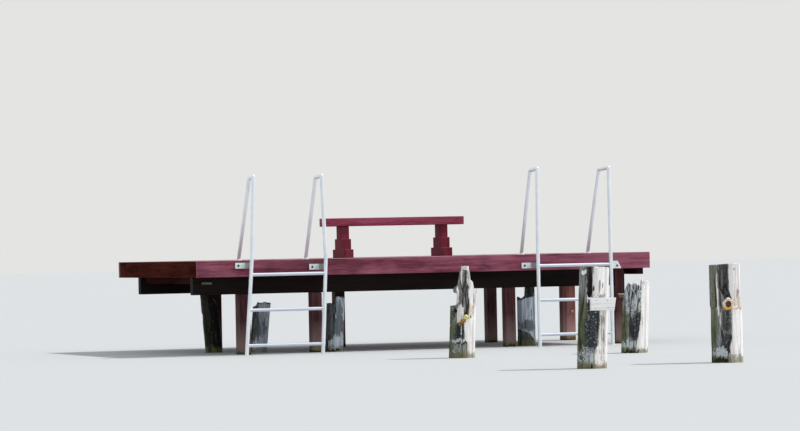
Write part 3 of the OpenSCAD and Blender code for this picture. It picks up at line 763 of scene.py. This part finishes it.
# %% [markdown]
# ## Metal
# The ladders are hot-dip galvanised tube. Zinc leaves a pale, slightly blue skin with
# large soft crystals, so the base colour is nearly white and a faint cell pattern
# tints it. Years outdoors cover it with a dull oxide film, so it is only half metallic,
# with the default IOR of a metal, and broad smudges vary how rough it is.

# %% Galvanised steel
CRYSTAL_MM = 14
SMUDGE_MM = 120


def zinc(name, colour, roughness, side_shade=None):
    """Zinc-coated steel with faint crystals. The last colour, if given, is painted shade on faces that
    look sideways.
    """
    material, tree, shader, place = new_finish(name)
    crystals = add(tree, "ShaderNodeTexVoronoi", {
        "Vector": place, "Scale": 1000 / CRYSTAL_MM}).outputs["Color"]
    smudge = add(tree, "ShaderNodeTexNoise", {
        "Vector": place, "Scale": 1000 / SMUDGE_MM, "Detail": 3}).outputs["Fac"]
    tint = add(tree, "ShaderNodeMix", {0: 0.12, 6: colour, 7: crystals}, data_type="RGBA",
               blend_type="SOFT_LIGHT").outputs[2]
    layers = [(smudge, 0.4, 0.75, 0.0, 0.3, "#b9c3cc")]
    if side_shade:
        normal = add(tree, "ShaderNodeNewGeometry", {}).outputs["Normal"]
        x = add(tree, "ShaderNodeSeparateXYZ", {0: normal}).outputs["X"]
        sideways = add(tree, "ShaderNodeMath", {0: x}, operation="ABSOLUTE").outputs[0]
        # Faces that look sideways get the darker colour: painted shade.
        layers.append((sideways, 0.6, 0.8, 0.0, 1.0, side_shade))
    tree.links.new(layered(tree, tint, layers), shader.inputs["Base Color"])
    shader.inputs["Metallic"].default_value = 0.5
    rough = add(tree, "ShaderNodeMapRange", {
        "Value": smudge, "To Min": roughness - 0.1, "To Max": roughness + 0.15}).outputs[0]
    tree.links.new(rough, shader.inputs["Roughness"])
    return material


tube_zinc = zinc("galvanised tube", "#f4f8fd", 0.45)
rung_zinc = zinc("galvanised rung scuffed by feet", "#d3d9e2", 0.52)
# The flat bar's sideways faces get painted shade.
bar_zinc = zinc("galvanised flat bar", "#f1f7f8", 0.5, side_shade="#98a19e")
for node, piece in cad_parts.items():
    if node.startswith("ladder"):
        piece.data.materials.clear()
        finish = bar_zinc if "bracket" in node else rung_zinc if "rung" in node else tube_zinc
        piece.data.materials.append(finish)
tag_wood = stained_timber("bleached raw board", "X", ("#c3bab4", "#f9f6f3", "#fdfcfb", "#fbf8f5"),
                          fade=0.8, patch=0.7)
rounded("pile_tag_board", 2, tag_wood)
print("metal finishes:", tube_zinc.name, rung_zinc.name, bar_zinc.name)

# %% [markdown]
# ## Fixings
# A jetty is held together by hundreds of small fixings. Two screws fasten each deck
# board to each joist. Their places come from the finished boards and joists, so every
# head sits on wood. A bolt with a washer goes through each hole in the ladders' plates,
# and a weld bead runs round each end of a rung. As the screws are so many, each has
# only a few faces.

# %% Plain finishes, discs and rings
SIDE_ON = Matrix.Rotation(math.radians(90), 4, "X")


def plain_finish(name, colours, roughness, metallic=0.0, mottle_mm=8):
    """A finish of two colours that mix in soft spots."""
    material, tree, shader, place = new_finish(name)
    mottle = add(tree, "ShaderNodeTexNoise", {
        "Vector": place, "Scale": 1000 / mottle_mm, "Detail": 3}).outputs["Fac"]
    tint = layered(tree, colours[0], [(mottle, 0.4, 0.6, 0.0, 1.0, colours[1])])
    tree.links.new(tint, shader.inputs["Base Color"])
    shader.inputs["Roughness"].default_value = roughness
    shader.inputs["Metallic"].default_value = metallic
    return material


def disc(bm, at, radius_mm, high_mm, segments, turn=None, chamfer_mm=0.0):
    """A disc or hexagon whose back lies at the point, with a chamfered front edge."""
    made = bmesh.ops.create_cone(
        bm, cap_ends=True, segments=segments, radius1=radius_mm * MM,
        radius2=(radius_mm - chamfer_mm) * MM, depth=high_mm * MM,
        matrix=Matrix.Translation((0.0, 0.0, high_mm * MM / 2)))
    bmesh.ops.transform(bm, verts=made["verts"], matrix=Matrix.Translation(at) @ (turn or Matrix()))


def spun_ring(bm, section, thick_mm, sides, centre, axis, steps):
    """A closed ring, faces outwards: a circle that lies at a matrix, spun once round an axis."""
    circle = bmesh.ops.create_circle(bm, radius=thick_mm * MM, segments=sides, matrix=section)
    rim = [edge for edge in bm.edges if edge.is_wire]
    bmesh.ops.spin(bm, geom=circle["verts"] + rim, cent=centre, axis=axis, angle=math.radians(360),
                   steps=steps, use_merge=True)
    bmesh.ops.recalc_face_normals(bm, faces=bm.faces)


def spans(bm):
    """The lowest and highest corner of each separate solid of a bmesh, which is then freed."""
    found = [[Vector(pick(v.co[i] for v in group) for i in range(3)) for pick in (min, max)]
             for group in islands(bm)]
    bm.free()
    return found


def spans_of(*nodes):
    """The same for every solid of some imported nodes."""
    return [span for node in nodes for span in spans(merged_copy(node))]


print("a disc side on faces", [round(v) for v in SIDE_ON @ Vector((0.0, 0.0, 1.0))])

# %% Deck screws
SCREW_R_MM = 4.5
SCREW_HIGH_MM = 0.9
SCREW_SUNK_MM = 0.5
SCREW_SHARES = (0.22, 0.78)

boards = []
for part in ("front", "middle", "rear"):
    bm = bmesh.new()
    bm.from_mesh(bpy.data.objects["deck_boards_" + part + "_timber"].data)
    boards += spans(bm)
joists = spans_of("edge_joist_left", "inner_joists_left", "inner_joists_right", "edge_joist_right")
bm = bmesh.new()
for low, high in boards:
    for joist_low, joist_high in joists:
        for share in SCREW_SHARES:
            x = (joist_low.x + joist_high.x) / 2 + dice.uniform(-6, 6) * MM
            y = low.y + share * (high.y - low.y) + dice.uniform(-3, 3) * MM
            at = (x, y, high.z - SCREW_SUNK_MM * MM)
            disc(bm, at, SCREW_R_MM, SCREW_HIGH_MM, 8, chamfer_mm=0.8)
screw_steel = plain_finish("weathered screw steel", ("#6a6461", "#8f8a86"), 0.5, metallic=0.6)
as_piece(bm, "deck_screws", screw_steel)
print("screws:", len(SCREW_SHARES) * len(boards) * len(joists))

# %% Bolts in the ladders' plates
BOLT_R_MM = 8
BOLT_LONG_MM = 5.5
WASHER_R_MM = 11
WASHER_MM = 1.5
BOLT_UP_MM = 25
PLATE_MM = 6
LAST_PLATE_X = 3.5

bolt_steel = plain_finish("dark bolt steel", ("#2e3534", "#4c5452"), 0.5, metallic=0.5)
plates = spans_of("ladder_left_brackets", "ladder_right_brackets")
rows = (("inner_bracket_bolts", 0.3, bar_zinc), ("outer_bracket_bolts", 0.7, bolt_steel))
for name, share, finish in rows:
    bm = bmesh.new()
    for low, high in plates:
        # Only the plate furthest to the right lies to the right of its stile.
        start, end = (low.x, high.x) if high.x > LAST_PLATE_X else (high.x, low.x)
        at = Vector((start + share * (end - start), high.y - PLATE_MM * MM, low.z + BOLT_UP_MM * MM))
        disc(bm, at, WASHER_R_MM, WASHER_MM, 20, SIDE_ON, chamfer_mm=0.4)
        at.y -= WASHER_MM * MM
        disc(bm, at, BOLT_R_MM, BOLT_LONG_MM, 6, SIDE_ON, chamfer_mm=1.2)
    as_piece(bm, name, finish)
print("plates:", len(plates))

# %% Weld beads at the rungs
WELD_MM = 3
WELD_OUT_MM = 15.5
WELD_IN_MM = 5

bm = bmesh.new()
rungs = spans_of("ladder_left_rungs", "ladder_right_rungs")
for low, high in rungs:
    middle = (low + high) / 2
    for x in (low.x + WELD_IN_MM * MM, high.x - WELD_IN_MM * MM):
        section = Matrix.Translation((x, middle.y - WELD_OUT_MM * MM, middle.z))
        spun_ring(bm, section, WELD_MM, 8, (x, middle.y, middle.z), (1, 0, 0), 20)
as_piece(bm, "rung_welds", tube_zinc, smooth=True)
print("weld beads:", 2 * len(rungs))

# %% Flanges under the handrails
FLANGE_R_MM = 30
FLANGE_MM = 4
FLANGE_SCREW_OUT_MM = 23.5
FLANGE_SCREW_R_MM = 4
FLANGE_SCREW_HIGH_MM = 2.5
DECK_TOP = 0.860

bm = bmesh.new()
for node in sorted(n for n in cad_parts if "handrail" in n):
    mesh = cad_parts[node].data
    feet = [v.co for v in mesh.vertices if v.co.z < DECK_TOP + 2 * MM and v.co.y > 0.0]
    foot = sum(feet, Vector()) / len(feet)
    foot.z = DECK_TOP
    disc(bm, foot, FLANGE_R_MM, FLANGE_MM, 32, chamfer_mm=1)
    for turn in (45, 165, 285):
        out = Vector((FLANGE_SCREW_OUT_MM, 0.0, FLANGE_MM)) * MM
        at = foot + Matrix.Rotation(math.radians(turn), 3, "Z") @ out
        disc(bm, at, FLANGE_SCREW_R_MM, FLANGE_SCREW_HIGH_MM, 6, chamfer_mm=0.6)
as_piece(bm, "handrail_flanges", tube_zinc)
print("last flange at", [round(v, 3) for v in foot])

# %% [markdown]
# ## What time has added
# A few scraps of older woodwork are still nailed to the beam and to a post. Bracket
# fungus grows from the split stump, as flat lobes one above the other, and a branch that
# broke off long ago left a swollen collar round its hole. To find the surface of a
# carved pile, a ray is sent at it from the lake.

# %% Scraps, knob and nails
def scrap(name, low_mm, high_mm, material):
    """A small block of wood between two corners, with rounded edges."""
    low, high = Vector(low_mm) * MM, Vector(high_mm) * MM
    bm = bmesh.new()
    size = Matrix.Diagonal((*(high - low), 1.0))
    bmesh.ops.create_cube(bm, size=1.0, matrix=Matrix.Translation((low + high) / 2) @ size)
    bmesh.ops.bevel(bm, geom=bm.edges[:], offset=1.5 * MM, offset_type="OFFSET", affect="EDGES",
                    segments=2, profile=0.5, material=-1)
    set_tones(bm)
    return as_piece(bm, name, material)


dim_scrap = stained_timber("grey end of a scrap board", "X", ("#35352f", "#585850", "#77776c", "#6a6a60"))
raw_scrap = stained_timber("raw end of a scrap board", "X", ("#8a8172", "#bfb49c", "#d9cfb8", "#cfc29f"))
brown_scrap = stained_timber("brown scrap of wood", "X", ("#4a3628", "#6f563f", "#8a6e52", "#7c6a56"))
scrap("beam_scrap", (-414, -66, 646), (-318, -50, 668), dim_scrap)
scrap("post_batten", (3688, -63, 458), (3755, -50, 474), raw_scrap)
scrap("post_block", (3694, -61, 431), (3739, -50, 457), brown_scrap)

KNOB_AT = (3.915, 1.636, 0.285)
KNOB_R_MM = 15
bm = bmesh.new()
flattened = Matrix.Translation(KNOB_AT) @ Matrix.Diagonal((1.0, 0.6, 1.0, 1.0))
bmesh.ops.create_uvsphere(bm, u_segments=24, v_segments=12, radius=KNOB_R_MM * MM, matrix=flattened)
as_piece(bm, "post_knob", raw_scrap, smooth=True)

NAIL_R_MM = 3.5
NAIL_UP_MM = 0.6
tag_corner = spans_of("pile_tag_board")[0][0]
bm = bmesh.new()
for x, z in ((0.06, 0.022), (0.07, 0.080), (0.165, 0.025), (0.16, 0.076)):
    at = tag_corner + Vector((x, NAIL_UP_MM * MM, z))
    disc(bm, at, NAIL_R_MM, NAIL_UP_MM, 10, SIDE_ON)
as_piece(bm, "tag_board_nails", bolt_steel)
print("nailed board at", [round(v, 3) for v in tag_corner])

# %% Fungus on the split stump
RAY_FROM = 0.4


def seen_point(node, across, z_mm):
    """The point of a carved pile's surface that is seen from the lake."""
    piece, foot, slant, radius = trunks[node]
    z = z_mm * MM
    start = foot + slant * z + across * radius * RIGHT + RAY_FROM * NEAR
    surface = bvhtree.BVHTree.FromObject(piece, bpy.context.evaluated_depsgraph_get())
    return surface.ray_cast(Vector((*start, z)), Vector((*-NEAR, 0.0)))[0]


def lobe(name, across, z_mm, radii_mm, material, seed):
    """A lumpy lobe of fungus that grows out of the stump."""
    bm = bmesh.new()
    bmesh.ops.create_uvsphere(bm, u_segments=40, v_segments=24, radius=1.0)
    for vert in bm.verts:
        lump = 0.22 * noise.noise(vert.co * 1.7 + Vector((seed, 0.0, 0.0)))
        bump = 0.08 * noise.noise(vert.co * 6)
        vert.co = Vector(vert.co[i] * radii_mm[i] * MM for i in range(3)) * (1 + lump + bump)
    grown = Matrix.Translation(seen_point("outer_pile_stump", across, z_mm))
    bmesh.ops.transform(bm, verts=bm.verts, matrix=grown @ Matrix.Rotation(-TURN_RIGHT, 4, "Z"))
    return as_piece(bm, name, material, smooth=True)


cream_flesh = plain_finish("cream fungus flesh", ("#cfbf68", "#e9e0ae"), 0.6, mottle_mm=14)
orange_flesh = plain_finish("orange fungus flesh", ("#8a4a22", "#cf9a4c"), 0.6, mottle_mm=14)
brown_flesh = plain_finish("brown fungus rind", ("#57321c", "#9c7434"), 0.7, mottle_mm=12)
lobe("fungus_cream", 0.2, 347, (29, 24, 21), cream_flesh, 1.0)
lobe("fungus_orange", -0.02, 312, (23, 20, 17), orange_flesh, 2.0)
lobe("fungus_brown", -0.22, 290, (21, 16, 15), brown_flesh, 3.0)

# %% The swollen knot on the far pile
KNOT_Z_MM = 457
KNOT_ACROSS = 0.09
KNOT_NEAR = 0.95
COLLAR_R_MM = 33
COLLAR_THICK_MM = 11
HEART_R_MM = 26
HEART_IN_MM = 6
LIP_MM = 12
LIP_RISE = 0.03


def callus_wood():
    """Pale callus wood with pink patches, an ochre lower lip and a dark reddish painted shadow under it.
    """
    material, tree, shader, place = new_finish("callus wood round a knot hole")
    level, ragged = ragged_height(tree, place, LIP_MM, LIP_RISE)
    layers = [
        (ragged, 0.4, 0.62, 0.0, 1.0, "#d8b6a4"),
        (level, 0.443, 0.463, 1.0, 0.0, "#e8ad45"),
        # The dark reddish band at the bottom of the collar is a painted shadow under the lip.
        (level, 0.425, 0.433, 1.0, 0.0, "#7a3b22"),
    ]
    tree.links.new(layered(tree, "#f7f0e0", layers), shader.inputs["Base Color"])
    shader.inputs["Roughness"].default_value = 0.8
    return material


_, foot, slant, radius = trunks["outer_pile_far_right"]
middle = foot + slant * KNOT_Z_MM * MM + KNOT_ACROSS * radius * RIGHT + KNOT_NEAR * radius * NEAR
to_lake = Matrix.Translation((*middle, KNOT_Z_MM * MM)) @ Matrix.Rotation(-TURN_RIGHT, 4, "Z") @ SIDE_ON

bm = bmesh.new()
section = Matrix.Translation((COLLAR_R_MM * MM, 0.0, 0.0)) @ SIDE_ON
spun_ring(bm, section, COLLAR_THICK_MM, 16, (0, 0, 0), (0, 0, 1), 48)
for vert in bm.verts:
    vert.co *= 1 + 0.2 * noise.noise(vert.co * 40)
    vert.co.y *= 1.08
bmesh.ops.transform(bm, verts=bm.verts, matrix=to_lake)
as_piece(bm, "knot_collar", callus_wood(), smooth=True)

# The dark cap in the knot hole is partly rotten wood, partly painted shade of the hollow.
rotten_heart_and_shade = plain_finish("rotten heart of a knot, darkened as painted shade", ("#2a1813", "#6b4536"), 0.9, mottle_mm=16)
bm = bmesh.new()
bmesh.ops.create_uvsphere(bm, u_segments=32, v_segments=20, radius=HEART_R_MM * MM)
for vert in bm.verts:
    vert.co *= 1 + 0.2 * noise.noise(vert.co * 60)
    vert.co.z *= 0.5
sunk = Matrix.Translation((0.0, 0.0, -HEART_IN_MM * MM))
bmesh.ops.transform(bm, verts=bm.verts, matrix=to_lake @ sunk)
as_piece(bm, "knot_heart", rotten_heart_and_shade, smooth=True)
print("knot at", [round(v, 3) for v in middle])

# %% [markdown]
# ## Floor and light
# One broad sun from the right front gives the shadow under the deck. A pale sky fills
# the rest. Rays that come straight from the camera or a gloss see the sky at the
# floor's own brightness, so that the floor seems to have no end.

# %% Floor, sun and sky
SUN_FROM = Vector((0.621, -0.166, 0.766)).normalized()
FLOOR_R = 160.0

floor_paint, _, floor_shader, _ = new_finish("pale floor")
floor_shader.inputs["Base Color"].default_value = linear("#d0d0cd")
floor_shader.inputs["Roughness"].default_value = 0.9
floor_shader.inputs["Specular IOR Level"].default_value = 0.1
bm = bmesh.new()
bmesh.ops.create_circle(bm, cap_ends=True, radius=FLOOR_R, segments=64)
floor = bpy.data.objects.new("floor", bpy.data.meshes.new("floor"))
bm.to_mesh(floor.data)
bm.free()
floor.data.materials.append(floor_paint)
scene.collection.objects.link(floor)
floor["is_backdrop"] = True

sun = bpy.data.objects.new("sun", bpy.data.lights.new("sun", "SUN"))
sun.data.energy = 2.4
sun.data.angle = math.radians(1.5)
sun.rotation_euler = SUN_FROM.to_track_quat("Z", "Y").to_euler()
scene.collection.objects.link(sun)

world = bpy.data.worlds.new("sky")
scene.world = world
world.use_nodes = True
sky_tree = world.node_tree
rays = add(sky_tree, "ShaderNodeLightPath", {}).outputs
seen = add(sky_tree, "ShaderNodeMath", {0: rays["Is Camera Ray"], 1: rays["Is Glossy Ray"]},
           operation="MAXIMUM").outputs[0]
seen = add(sky_tree, "ShaderNodeMath", {0: seen, 1: rays["Is Transmission Ray"]},
           operation="MAXIMUM").outputs[0]
fill = add(sky_tree, "ShaderNodeBackground", {"Color": "#e2eaf5", "Strength": 0.75}).outputs[0]
shown = add(sky_tree, "ShaderNodeBackground", {"Color": "#e4e4e2", "Strength": 1.0}).outputs[0]
mixed = add(sky_tree, "ShaderNodeMixShader", {0: seen, 1: fill, 2: shown}).outputs[0]
sky_tree.links.new(mixed, sky_tree.nodes["World Output"].inputs["Surface"])
scene.view_settings.view_transform = "Standard"
print("sun height:", round(math.degrees(math.asin(SUN_FROM.z)), 1), "degrees")

# %% Print the packed and the dressed size
visual_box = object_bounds()
for name, box in (("packed size", cad_box), ("dressed size", visual_box)):
    print(name, [round(high - low, 4) for low, high in zip(*box)])
